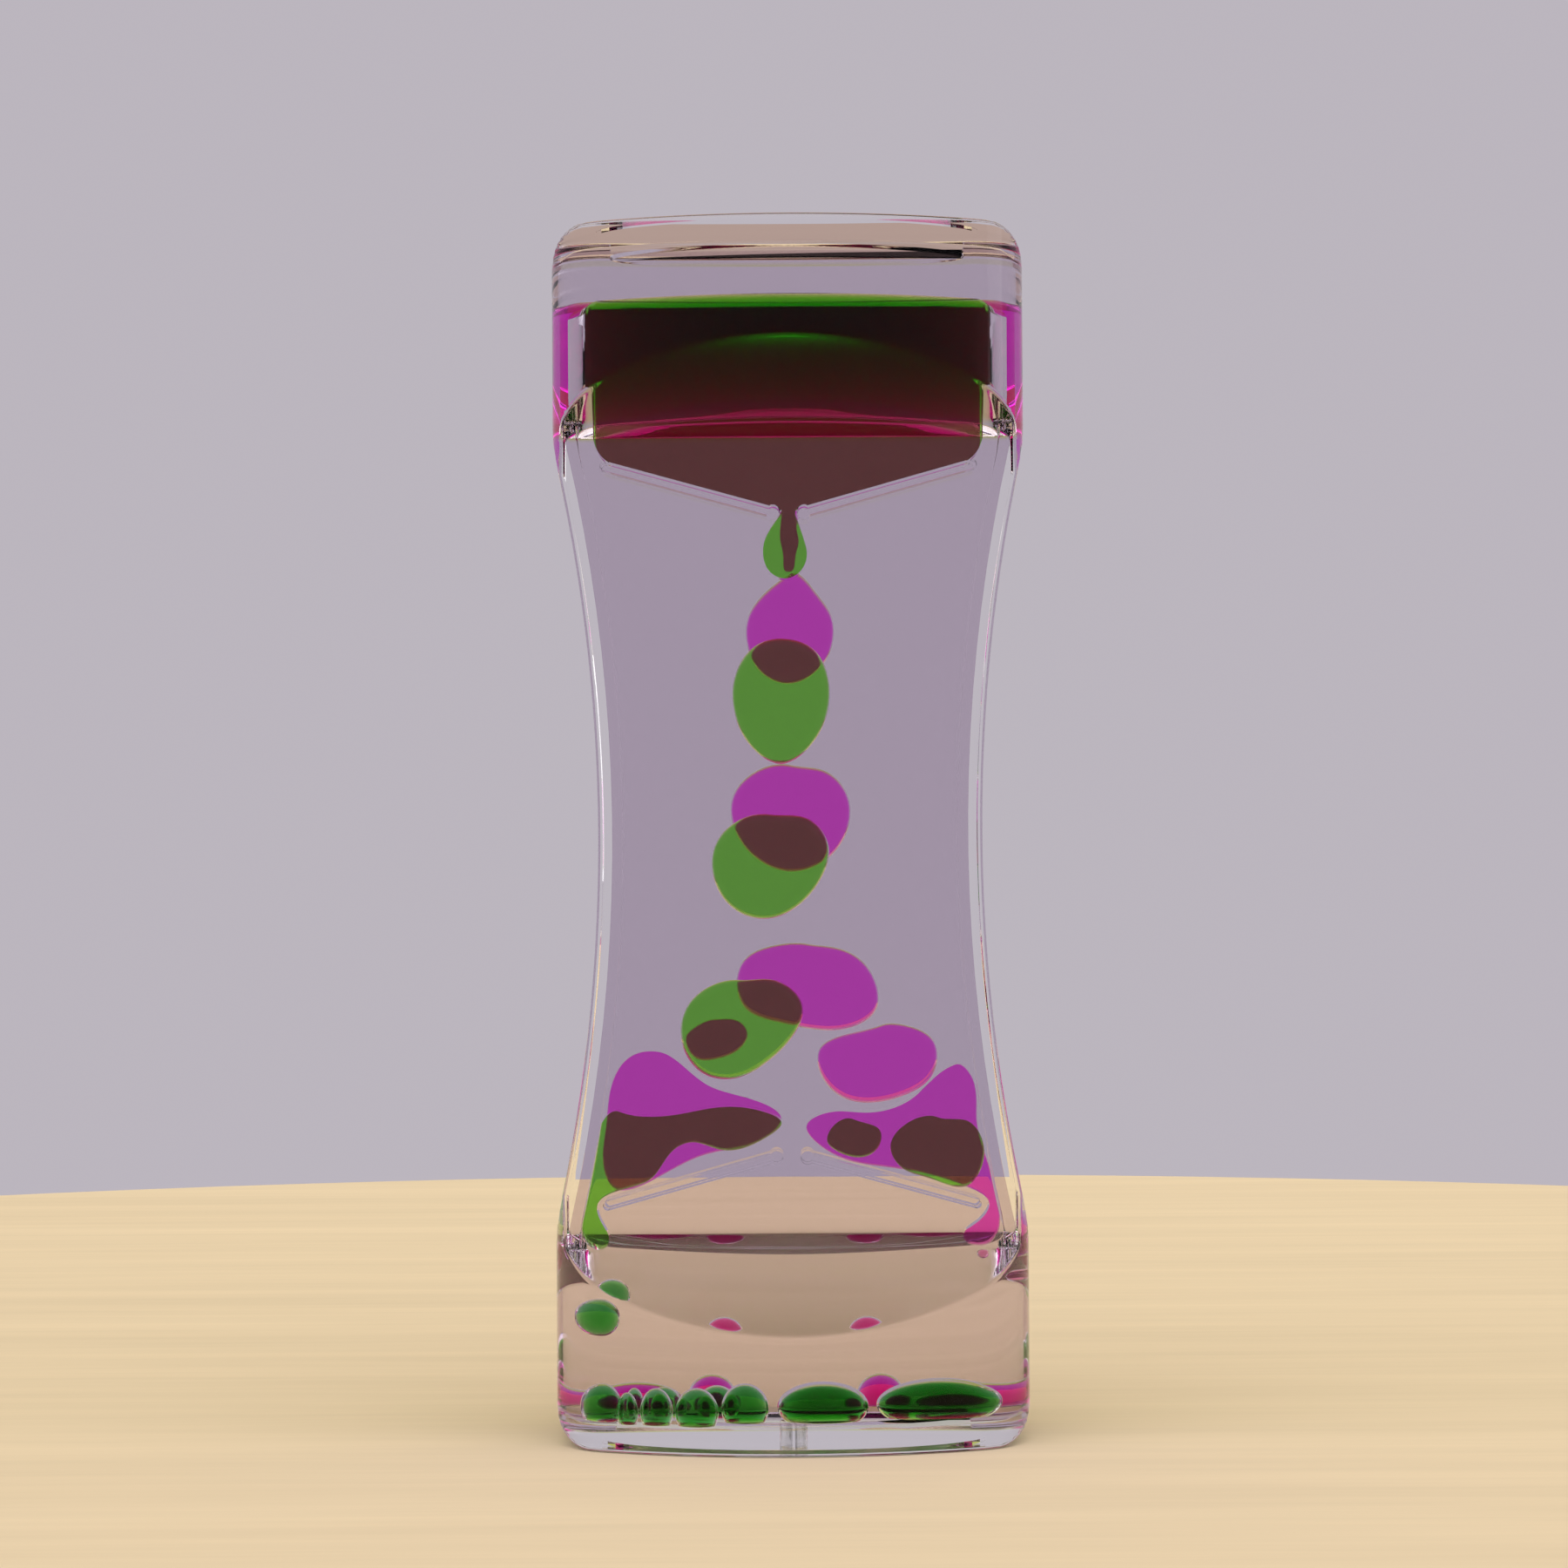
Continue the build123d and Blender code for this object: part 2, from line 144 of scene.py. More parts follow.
class TimerFinish(bpy.types.PropertyGroup):
    """Colours and optical values of the clear and the dyed materials."""

    acrylic_ior: number("Acrylic index", 1.49, "Refractive index of the acrylic in air", 1.0)
    front_gloss: number("Front gloss", 0.25, "Share of the mirror image that a face seen square on keeps")
    ripple_scale: number("Ripple scale", 90.0, "How fine the unevenness of the outer faces is, per metre")
    ripple_strength: number("Ripple strength", 0.02, "How much that unevenness tilts what they mirror")
    ripple_depth: length("Ripple depth", 0.0002, "Depth of that unevenness")
    seat_ior: number("Acrylic in oil", 1.018, "Index of the acrylic relative to the oil", 1.0)
    dye_ior: number("Dyed liquid in oil", 0.93, "Index of the dyed liquids relative to the oil", 0.5)
    oil_alpha: number("Oil alpha", 0.02, "How much the clear oil shows")
    divider_tint: colour("Divider tint", (0.70, 0.62, 0.72), "What the divider lets through")
    green_pass: colour("Green", (0.24, 0.80, 0.09), "What one cell's depth of green lets through")
    magenta_pass: colour("Magenta", (1.0, 0.12, 0.88), "What one cell's depth of magenta lets through")
    cell_depth: length("Cell depth", 0.0037, "Depth of liquid that the dyes' colours are given for")
    # The two bead colours are darker copies of the green and magenta dyes: painted shade for the dim,
    # shadowed floor seen through the settled beads.
    bead_green_painted_shade: colour("Bead green", (0.05, 0.45, 0.06), "What the settled green beads let through")
    bead_magenta_painted_shade: colour("Bead magenta", (0.93, 0.03, 0.50), "What the settled magenta beads let through")


class TimerStage(bpy.types.PropertyGroup):
    """Floor, backdrop, lamp and camera."""

    floor: colour("Floor", (0.92, 0.74, 0.57), "Colour of the floor")
    floor_roughness: number("Floor roughness", 0.8, "How matt the floor is")
    floor_sides: IntProperty(name="Floor sides", description="Sides of the floor's round edge", default=128,
                             min=8)
    grain: FloatVectorProperty(name="Grain", description="How fine the floor's grain is along X, Y and Z",
                               default=(4.0, 70.0, 1.0), size=3)
    grain_depth: number("Grain depth", 0.25, "How much darker the grain's darkest lines are")
    grain_detail: number("Grain detail", 5.0, "How many finer layers the grain has")
    grain_roughness: number("Grain roughness", 0.75, "How strong the grain's finer layers are")
    far_floor: colour("Far floor", (0.44, 0.32, 0.28), "Colour below the backdrop, past the floor's edge")
    backdrop: colour("Backdrop", (0.50, 0.465, 0.515), "Colour of the backdrop")
    overhead: colour("Overhead", (1.0, 0.95, 0.93), "Colour of the soft light from above")
    behind: colour("Light behind", (0.46, 0.50, 0.12), "Colour of the light above and behind the timer")
    overhead_strength: number("Overhead strength", 1.85, "Brightness of the soft light from above")
    table_reach: length("Table reach", 0.33, "From the timer's middle to the floor's edge")
    lamp_power: number("Lamp power", 0.2, "Power of the soft box, in watts")
    lamp_size: FloatVectorProperty(name="Lamp size", description="Width and height of the soft box",
                                   default=(0.28, 0.25), size=2, unit="LENGTH")
    lamp_place: FloatVectorProperty(name="Lamp place", description="Place of the soft box's middle",
                                    default=(0.6, -0.08, 0.15), size=3, subtype="XYZ", unit="LENGTH")
    camera_distance: length("Camera distance", 0.36, "From the camera to the front face")
    camera_left: length("Camera left", 0.00065, "How far left of the timer's middle the camera stands")
    eye_level: length("Eye level", 0.0592, "Height of the camera")
    lens: number("Lens", 80.5, "Focal length in millimetres")
    camera_tilt: angle("Camera tilt", 0.94, "How far the camera looks up")
    camera_roll: angle("Camera roll", 0.34, "How far the camera is turned about its view")
    camera_shift: number("Camera shift", 0.0244, "Upward shift of the picture, as a share of its width")


# Distances to the body's surfaces, each with the surface's direction

PARALLEL = 0.99999  # cosine from which two surfaces count as parallel
LEAST_SQUARE = 1e-20  # keeps a root off zero
LEAST_REACH = 1e-9  # keeps a quotient off zero
SETTLE_ROUNDS = 6


def meet(first, second, radius):
    """What lies inside both of two surfaces, with the edge between them rounded."""
    (a, n), (b, m) = first, second
    c = np.clip(np.sum(n * m, axis=1), -1.0, PARALLEL)
    over_a, over_b = a + radius, b + radius
    pull_a, pull_b = over_a - c * over_b, over_b - c * over_a
    rounded = (pull_a > 0) & (pull_b > 0)
    spread = np.sqrt(np.maximum(over_a * pull_a + over_b * pull_b, LEAST_SQUARE) / (1 - c * c))
    distance = np.where(rounded, spread - radius, np.maximum(a, b))
    outer = np.where((a > b)[:, None], n, m)
    inner = (pull_a[:, None] * n + pull_b[:, None] * m) / ((1 - c * c) * spread)[:, None]
    return distance, np.where(rounded[:, None], inner, outer)


def join(first, second, radius):
    """What lies inside either of two surfaces, with the valley between them filled."""
    (a, n), (b, m) = first, second
    distance, direction = meet((-a, -n), (-b, -m), radius)
    return -distance, -direction


def plan_centres(body):
    """Places of the arcs' centres in plan: front bow, side bow and corner."""
    bow = body.front_bow - body.depth / 2
    side = body.side_bow - body.side_crown - body.width / 2
    to_front, to_side = body.front_bow - body.plan_corner, body.side_bow - body.plan_corner
    apart = hypot(bow, side)
    along = (to_side**2 - to_front**2 + apart**2) / (2 * apart)
    across = (to_side**2 - along**2) ** 0.5
    toward = np.array([side, -bow]) / apart
    corner = np.array([-side, 0.0]) + along * toward + across * np.array([-toward[1], toward[0]])
    return np.array([0.0, -bow]), np.array([-side, 0.0]), corner


def plan_surface(body, points):
    """Distance to the bowed column of the end blocks."""
    front, side, corner = plan_centres(body)
    flat = points[:, :2]
    to_corner, front_way, side_way = flat - corner, corner - front, corner - side
    past_side = side_way[0] * to_corner[:, 1] - side_way[1] * to_corner[:, 0] > 0
    past_front = to_corner[:, 0] * front_way[1] - to_corner[:, 1] * front_way[0] < 0
    centre = np.where(past_front[:, None], front, np.where(past_side[:, None], corner, side))
    radius = np.where(past_front, body.front_bow, np.where(past_side, body.plan_corner, body.side_bow))
    away = flat - centre
    reach = np.linalg.norm(away, axis=1)
    direction = np.zeros_like(points)
    direction[:, :2] = away / reach[:, None]
    return reach - radius, direction


def waist_arc(body):
    """Radius of the arcs that draw the sides in."""
    bite = (body.width - body.waist) / 2
    return (body.waist_reach**2 + bite**2) / (2 * bite)


def front_surface(body, points):
    """Distance to the front view's outline, drawn in at the waist and rounded at its corners."""
    x, z = points[:, 0], points[:, 2]
    radius = body.corner_radius
    dx, dz = x - (body.width / 2 - radius), z - (body.height / 2 - radius)
    out_x, out_z = np.maximum(dx, 0), np.maximum(dz, 0)
    reach = np.hypot(out_x, out_z)
    block = reach + np.minimum(np.maximum(dx, dz), 0) - radius
    way = np.zeros_like(points)
    safe = np.maximum(reach, LEAST_REACH)
    way[:, 0] = np.where(reach > 0, out_x / safe, dx > dz)
    way[:, 2] = np.where(reach > 0, out_z / safe, dx <= dz)
    arc = waist_arc(body)
    away_x = x - (body.waist / 2 + arc)
    far = np.hypot(away_x, z)
    inward = np.zeros_like(points)
    inward[:, 0], inward[:, 2] = -away_x / far, -z / far
    return meet((block, way), (arc - far, inward), body.waist_blend)


def side_surface(body, points, inset):
    """Distance to the side view's outline: a thin middle with a slope out to each block."""
    y, z = points[:, 1], points[:, 2]
    slant = hypot(body.slope_rise, body.slope_run)
    middle = y - body.middle / 2
    flat = np.zeros_like(points)
    flat[:, 1] = 1.0
    slope = ((y - body.middle / 2) * body.slope_rise - (z - body.slope_start) * body.slope_run) / slant
    tilted = np.zeros_like(points)
    tilted[:, 1], tilted[:, 2] = body.slope_rise / slant, -body.slope_run / slant
    distance, direction = join((middle, flat), (slope, tilted), body.slope_blend)
    return distance + inset, direction


def body_surface(body, points, inset, edge):
    """Distance to the body's surface, or to one that lies inside it by an inset."""
    plan, plan_way = plan_surface(body, points)
    front, front_way = front_surface(body, points)
    rim = meet((plan + inset, plan_way), (front + inset, front_way), edge)
    return meet(rim, side_surface(body, points, inset), edge)


def settle(body, points, inset, edge):
    """Moves points of one eighth of the body onto its surface, and gives the directions there."""
    shape = points.shape
    points = points.reshape(-1, 3).copy()
    for _ in range(SETTLE_ROUNDS):
        distance, direction = body_surface(body, points, inset, edge)
        points -= distance[:, None] * direction
        points[:, 1:] = np.maximum(points[:, 1:], 0)
    _, direction = body_surface(body, points, inset, edge)
    return points.reshape(shape), direction.reshape(shape)


# The shells' grid, whose columns run up the body and whose rows follow its arches

SIDE_COLUMN_SHARES = (0.0, 0.25, 0.5, 0.7, 0.82, 0.89, 0.93, 0.965, 0.99)
EDGE_COLUMN_SHARES = (0.0, 0.004, 0.01, 0.017, 0.026, 0.04, 0.06, 0.085, 0.11)
END_ROW_SHARES = (0.03, 0.06, 0.1, 0.16, 0.3, 0.5, 0.75, 1.0)
CORNER_ROW_SHARES = (0.15, 0.3, 0.45, 0.6, 0.72, 0.82, 0.9, 0.95, 0.98, 1.0)
MIDDLE_ROWS, SLOPE_ROWS, BLOCK_ROWS, OVAL_COLUMNS = 26, 14, 10, 46
BLOCK_ROW_EASE = 1.6  # above 1, so that the rows of a block lie closer together near its arch
GIVEN_ABOVE = 0.5  # squared length above which a corner has a direction of its own
SHARP_BELOW = 0.3  # cosine between that direction and the face's, below which the edge is sharp


def plan_columns(body, inset):
    """Places in plan of the columns from the middle of a side to the middle of the front."""
    front, side, corner = plan_centres(body)
    thin = body.middle / 2 - inset
    side_way, front_way = corner - side, corner - front
    side_end, front_start = atan2(side_way[1], side_way[0]), atan2(front_way[1], front_way[0])
    shares = np.concatenate([EDGE_COLUMN_SHARES,
                             np.linspace(EDGE_COLUMN_SHARES[-1], 1.0, OVAL_COLUMNS)[1:]])

    def side_point(y):
        on_side = y < (body.side_bow - inset) * np.sin(side_end)
        centre, radius = (side, body.side_bow) if on_side else (corner, body.plan_corner)
        turn = np.arcsin((y - centre[1]) / (radius - inset))
        return (centre[0] + (radius - inset) * np.cos(turn), y), turn

    places = [side_point(share * thin)[0] for share in SIDE_COLUMN_SHARES]
    start = side_point(thin)[1]
    for turn in start + shares * (pi / 2 - start):
        if turn < side_end:
            centre, radius = side, body.side_bow
        elif turn < front_start:
            centre, radius = corner, body.plan_corner
        else:
            centre, radius = front, body.front_bow
        places.append(tuple(centre + (radius - inset) * np.array([np.cos(turn), np.sin(turn)])))
    return np.array(places)


def half_width_at(body, height, inset):
    """Half the width of the body, less an inset, at a height from its middle."""
    arc = waist_arc(body)
    at_waist = body.waist / 2 + arc - np.sqrt(arc**2 - np.minimum(height, body.waist_reach) ** 2)
    past = np.maximum(height - (body.height / 2 - body.corner_radius), 0)
    radius = body.corner_radius - inset
    turned = body.width / 2 - body.corner_radius + np.sqrt(np.maximum(radius**2 - past**2, 0))
    straight = np.minimum(at_waist, body.width / 2) - inset
    return np.where(past > 0, turned, straight)


def oval_point(half_x, half_y, toward):
    """Point of an oval that lies in the direction of a place in plan."""
    turn = np.arctan2(toward[..., 1] / half_y, toward[..., 0] / half_x)
    return np.stack([half_x * np.cos(turn), half_y * np.sin(turn)], axis=-1)


def eighth_of_surface(body, inset, edge, hole):
    """Rows of points from mid height to the plug's hole, over one eighth of the body."""
    columns = plan_columns(body, inset)
    x, y = columns[:, 0], columns[:, 1]
    thin = body.middle / 2 - inset
    slant = hypot(body.slope_rise, body.slope_run)
    foot = body.slope_start + inset * (slant - body.slope_rise) / body.slope_run
    arch = foot + np.maximum((y - thin) * body.slope_rise / body.slope_run, body.wall / 2)
    top = body.height / 2 - inset
    corner = body.height / 2 - body.corner_radius
    eased = (1 - np.cos(np.linspace(0, pi, SLOPE_ROWS + 1)[1:])) / 2
    spaced = np.linspace(0, 1, BLOCK_ROWS + 1)[1:]
    levels = [np.full_like(x, level) for level in np.linspace(0, foot, MIDDLE_ROWS)]
    levels += [foot + share * (arch - foot) for share in eased]
    levels += [arch + share**BLOCK_ROW_EASE * (corner - arch) for share in spaced]
    levels += [np.full_like(x, corner + share * (top - corner)) for share in CORNER_ROW_SHARES]
    corner_x = np.interp(thin, y, x)
    rows = []
    for level in levels:
        width = half_width_at(body, level, inset)
        on_slope = thin + np.maximum(level - foot, 0) * body.slope_run / body.slope_rise
        narrowed = x * np.minimum(1.0, width / corner_x)
        across = np.where(y > on_slope, narrowed, np.minimum(x, width))
        rows.append(np.stack([across, np.minimum(y, on_slope), level], axis=-1))
    last = rows[-1]
    aim = oval_point(*hole, last[:, :2])
    for share in END_ROW_SHARES:
        flat = last[:, :2] + share * (aim - last[:, :2])
        rows.append(np.concatenate([flat, np.full((len(x), 1), top)], axis=-1))
    points, directions = settle(body, np.array(rows), inset, edge)
    points[-1, :, :2] = aim
    return points, directions


def half_surface(body, inset, edge, hole):
    """Places and directions of one surface of the front shell, from the lower hole to the upper one."""
    grids = []
    for grid in eighth_of_surface(body, inset, edge, hole):
        quarter = np.concatenate([grid[:0:-1] * np.array([1, 1, -1]), grid]) * np.array([1, -1, 1])
        other_side = quarter[:, -2::-1] * np.array([-1, 1, 1])
        grids.append(np.concatenate([quarter, other_side], axis=1))
    return grids


def shell_mesh(name, body, side):
    """Half of the body as a closed mesh, with its outer, inner and bonded faces told apart."""
    hole = (size_of("top_plug").x / 2, size_of("top_plug").y / 2)
    mouth = (hole[0] - body.flange, hole[1] - body.flange)
    outer, outer_way = half_surface(body, 0.0, body.edge, hole)
    inner, inner_way = half_surface(body, body.wall, body.inner_edge, mouth)
    rows, columns = outer.shape[:2]
    seat = body.height / 2 - body.plug_recess
    ledge = seat - body.flange_thickness

    def hole_rows(sign):
        steps = ((outer, seat), (outer, ledge), (inner, ledge))
        ring = -1 if sign > 0 else 0
        return [np.concatenate([grid[ring, :, :2], np.full((columns, 1), sign * level)], axis=-1)
                for grid, level in steps]

    upper, lower = hole_rows(1), hole_rows(-1)
    points = np.array([*outer, *upper, *inner[::-1], *lower[::-1]])
    no_way = np.zeros((len(upper), columns, 3))
    ways = np.concatenate([outer_way, no_way, -inner_way[::-1], no_way])
    total, inner_start, inner_end = len(points), rows + len(upper), 2 * rows + len(upper) - 1
    faces, kinds = [], []
    for row in range(total):
        after = (row + 1) % total
        if row < rows or row == total - 1:
            kind = TO_AIR
        elif inner_start <= row < inner_end:
            kind = TO_OIL
        else:
            kind = BONDED
        for column in range(columns - 1):
            faces.append((row * columns + column, row * columns + column + 1,
                          after * columns + column + 1, after * columns + column))
            kinds.append(kind)
    for column, order in ((0, 1), (columns - 1, -1)):
        strips = [[row, row + 1, inner_end - row - 1, inner_end - row] for row in range(rows - 1)]
        strips += [range(rows - 1, inner_start + 1), [row % total for row in range(inner_end, total + 1)]]
        for strip in strips:
            faces.append([row * columns + column for row in strip][::order])
            kinds.append(BONDED)
    flip = np.array([1.0, side, 1.0])
    places = points.reshape(-1, 3) * flip + np.array([0, 0, body.height / 2])
    return finished_mesh(name, places, faces, kinds, ways.reshape(-1, 3) * flip)


def finished_mesh(name, places, faces, kinds, ways):
    """Mesh with outward faces, whose smooth faces take the given directions at their corners."""
    mesh = bpy.data.meshes.new(name)
    mesh.from_pydata(places.tolist(), [], [list(face) for face in faces])
    mesh.polygons.foreach_set("material_index", kinds)
    work = bmesh.new()
    work.from_mesh(mesh)
    bmesh.ops.recalc_face_normals(work, faces=work.faces)
    work.to_mesh(mesh)
    work.free()
    corner_ways = np.zeros((len(mesh.loops), 3))
    for face in mesh.polygons:
        normal = np.array(face.normal)
        for loop in face.loop_indices:
            way = ways[mesh.loops[loop].vertex_index]
            has_way = face.material_index != BONDED and way @ way > GIVEN_ABOVE
            corner_ways[loop] = way if has_way and way @ normal > SHARP_BELOW else normal
    mesh.normals_split_custom_set(corner_ways.tolist())
    return mesh


# Pieces that start from a solid

SOLID_SMOOTH, LIQUID_SMOOTH = 30.0, 40.0  # degrees up to which an edge looks smooth
WELD_REACH = 1e-6  # metres between corners that become one
WAY_STEPS, OFFSET_STEPS = 400, 2e5  # steps per unit and per metre, in which faces of one plane agree
LARGE_FLAT = 1e-6  # square metres


def add_piece(name, mesh, body_name, slot_name, materials, *nodes):
    """Links a mesh as a piece that rides on a body and stands for nodes."""
    piece = bpy.data.objects.new(name, mesh)
    bpy.context.scene.collection.objects.link(piece)
    for material in materials:
        mesh.materials.append(material)
    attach(piece, body_name)
    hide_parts(*nodes)
    return piece


def welded_copy(node, name, smooth_angle=SOLID_SMOOTH):
    """Copy of a node's mesh, in one skin, smooth up to an angle."""
    mesh = frame["nodes"][node].data.copy()
    mesh.name = name
    mesh.materials.clear()
    work = bmesh.new()
    work.from_mesh(mesh)
    bmesh.ops.remove_doubles(work, verts=work.verts, dist=WELD_REACH)
    work.to_mesh(mesh)
    work.free()
    if mesh.has_custom_normals:
        mesh.normals_split_custom_set([(0, 0, 0)] * len(mesh.loops))
    mesh.shade_smooth()
    mesh.set_sharp_from_angle(angle=radians(smooth_angle))
    keep_flats_flat(mesh, smooth_angle)
    return mesh


def read_all(items, field, width=1, kind=float):
    """One field of all of a mesh's items, with a row for each item where it is a vector."""
    values = np.empty(len(items) * width, dtype=kind)
    items.foreach_get(field, values)
    return values.reshape(-1, width) if width > 1 else values


def keep_flats_flat(mesh, smooth_angle):
    """Gives the corners along a large flat face its direction, so that its rim doesn't bend it."""
    ways, areas = read_all(mesh.polygons, "normal", 3), read_all(mesh.polygons, "area")
    starts = read_all(mesh.polygons, "loop_start", kind=int)
    totals = read_all(mesh.polygons, "loop_total", kind=int)
    corners = read_all(mesh.loops, "vertex_index", kind=int)
    places = read_all(mesh.vertices, "co", 3)
    offsets = np.sum(ways * places[corners[starts]], axis=1)
    keys = np.round(np.column_stack([ways * WAY_STEPS, offsets * OFFSET_STEPS])).astype(int)
    _, plane_of = np.unique(keys, axis=0, return_inverse=True)
    plane_of = plane_of.reshape(-1)
    plane_areas = np.bincount(plane_of, weights=areas)
    face_of = np.repeat(np.arange(len(areas)), totals)
    corner_ways = read_all(mesh.corner_normals, "vector", 3)
    for plane in sorted(np.nonzero(plane_areas > LARGE_FLAT)[0], key=lambda index: plane_areas[index]):
        own = plane_of == plane
        way = np.average(ways[own], axis=0, weights=areas[own])
        way /= np.linalg.norm(way)
        touched = np.zeros(len(places), dtype=bool)
        touched[corners[own[face_of]]] = True
        near = touched[corners] & (ways[face_of] @ way > np.cos(radians(smooth_angle)))
        corner_ways[near] = way
    mesh.normals_split_custom_set(corner_ways.tolist())


def drawn_in(mesh, amount):
    """Moves a mesh's surface inwards, so that it doesn't lie in its neighbours' faces."""
    places = read_all(mesh.vertices, "co", 3)
    ways = read_all(mesh.vertex_normals, "vector", 3)
    kept = [tuple(corner.vector) for corner in mesh.corner_normals]
    mesh.vertices.foreach_set("co", (places - amount * ways).ravel())
    mesh.update()
    mesh.normals_split_custom_set(kept)
    return mesh


# Materials

WATER_WHITE = (1.0, 1.0, 1.0)
RIPPLE_DETAIL = 1.0
LEAST_PASSED = 1e-4  # keeps the logarithm of a colour within bounds


def new_material(name):
    """Material made of nodes."""
    material = bpy.data.materials.new(name)
    material.use_nodes = True
    return material


def shader_of(material):
    """Principled shader of a material."""
    return material.node_tree.nodes["Principled BSDF"]


def clear_material(name, ior, tint=WATER_WHITE):
    """Clear plastic or liquid of a refractive index, relative to what lies outside it."""
    material = new_material(name)
    shader = shader_of(material)
    shader.inputs["Base Color"].default_value = (*tint, 1.0)
    shader.inputs["Roughness"].default_value = 0.0
    shader.inputs["IOR"].default_value = ior
    shader.inputs["Transmission Weight"].default_value = 1.0
    return material


def polished_acrylic(finish):
    """Acrylic in air, faintly uneven, which mirrors less of what stands before it than glass would."""
    material = clear_material("polished_acrylic", finish.acrylic_ior)
    shader, tree = shader_of(material), material.node_tree
    shader.inputs["Specular Tint"].default_value = (*[finish.front_gloss] * 3, 1.0)
    place = tree.nodes.new("ShaderNodeTexCoord")
    noise = tree.nodes.new("ShaderNodeTexNoise")
    noise.inputs["Scale"].default_value = finish.ripple_scale
    noise.inputs["Detail"].default_value = RIPPLE_DETAIL
    bump = tree.nodes.new("ShaderNodeBump")
    bump.inputs["Strength"].default_value = finish.ripple_strength
    bump.inputs["Distance"].default_value = finish.ripple_depth
    tree.links.new(place.outputs["Object"], noise.inputs["Vector"])
    tree.links.new(noise.outputs["Fac"], bump.inputs["Height"])
    tree.links.new(bump.outputs["Normal"], shader.inputs["Normal"])
    return material


def bond_material():
    """Bonded faces, which can't be seen."""
    material = new_material("bonded_acrylic")
    shader_of(material).inputs["Alpha"].default_value = 0.0
    return material


def clear_oil_material(finish):
    """Clear oil, which shows only by what it does to the shapes around it."""
    material = clear_material("clear_oil", 1.0)
    shader_of(material).inputs["Alpha"].default_value = finish.oil_alpha
    return material


def dyed_material(name, finish, passed):
    """Dyed liquid that takes light by its depth."""
    material = clear_material(name, finish.dye_ior)
    tree = material.node_tree
    taken = -np.log(np.maximum(np.array(passed), LEAST_PASSED)) / finish.cell_depth
    density = float(taken.max())
    volume = tree.nodes.new("ShaderNodeVolumeAbsorption")
    volume.inputs["Density"].default_value = density
    volume.inputs["Color"].default_value = (*(1 - taken / density), 1.0)
    tree.links.new(volume.outputs["Volume"], tree.nodes["Material Output"].inputs["Volume"])
    return material


def finish_set(finish):
    """All materials of the timer, by name."""
    return {
        "air": polished_acrylic(finish),
        "oil": clear_material("acrylic_in_oil", finish.seat_ior),
        "bond": bond_material(),
        "divider": clear_material("tinted_divider", finish.seat_ior, finish.divider_tint),
        "green": dyed_material("green_liquid", finish, finish.green_pass),
        "magenta": dyed_material("magenta_liquid", finish, finish.magenta_pass),
        # Darker copies of the dyes for the settled beads and the tiny droplet: painted shade, not a
        # different liquid.
        "green_beads": dyed_material("green_liquid_painted_shade", finish, finish.bead_green_painted_shade),
        "magenta_beads": dyed_material("magenta_liquid_painted_shade", finish, finish.bead_magenta_painted_shade),
        "clear_oil": clear_oil_material(finish),
    }


made_materials = {}


def acrylic_slots():
    """Materials of the faces to the air, to the oil and to other acrylic, in the order of their slots."""
    return [made_materials[key] for key in ("air", "oil", "bond")]


# Operators

class TIMER_OT_finishes(bpy.types.Operator):
    """Makes the timer's materials"""

    bl_idname = "timer.finishes"
    bl_label = "Materials"

    def execute(self, context):
        made_materials.update(finish_set(context.scene.timer_finish))
        return {"FINISHED"}


class TIMER_OT_shells(bpy.types.Operator):
    """Makes the two clear halves of the body"""

    bl_idname = "timer.shells"
    bl_label = "Shells"

    def execute(self, context):
        for name, side in zip(CELLS, (1, -1)):
            mesh = shell_mesh(f"{name}_shell_skin", context.scene.timer_body, side)
            add_piece(f"{name}_clear_shell", mesh, BODY_NAME, "body", acrylic_slots(), f"{name}_shell")
        return {"FINISHED"}


class TIMER_OT_plugs(bpy.types.Operator):
    """Makes the oval plugs of the end walls and the pins of their ports"""

    bl_idname = "timer.plugs"
    bl_label = "Plugs"

    def execute(self, context):
        body = context.scene.timer_body
        middle = body.height / 2
        outside = middle - body.plug_recess - SEAM
        inside = middle - body.wall + SEAM
        parts = acrylic_slots()
        for name in ("top", "bottom"):
            mesh = welded_copy(f"{name}_plug", f"{name}_plug_skin")
            for face in mesh.polygons:
                height = abs(face.center.z - middle)
                face.material_index = TO_AIR if height > outside else TO_OIL if height < inside else BONDED
            add_piece(f"{name}_clear_plug", mesh, BODY_NAME, "plugs", parts, f"{name}_plug")
        for name in CELLS:
            mesh = welded_copy(f"{name}_port_pin", f"{name}_pin_skin")
            for face in mesh.polygons:
                face.material_index = TO_AIR if abs(face.center.z - middle) > outside else TO_OIL
            add_piece(f"{name}_pin", mesh, BODY_NAME, "plugs", parts[:BONDED], f"{name}_port_pin")
        return {"FINISHED"}


class TIMER_OT_divider(bpy.types.Operator):
    """Makes the sheet between the two cells"""

    bl_idname = "timer.divider"
    bl_label = "Divider"

    def execute(self, context):
        mesh = welded_copy("divider_sheet", "divider_skin")
        add_piece("tinted_divider", mesh, BODY_NAME, "divider", [made_materials["divider"]],
                  "divider_sheet")
        return {"FINISHED"}


class TIMER_OT_baffles(bpy.types.Operator):
    """Makes the eight sloping baffles"""

    bl_idname = "timer.baffles"
    bl_label = "Baffles"

    def execute(self, context):
        for node in [name for name in frame["nodes"] if name.endswith("_baffle")]:
            mesh = drawn_in(welded_copy(node, f"{node}_skin"), SEAM)
            add_piece(f"{node}_strip", mesh, BODY_NAME, "baffles", [made_materials["oil"]], node)
        return {"FINISHED"}


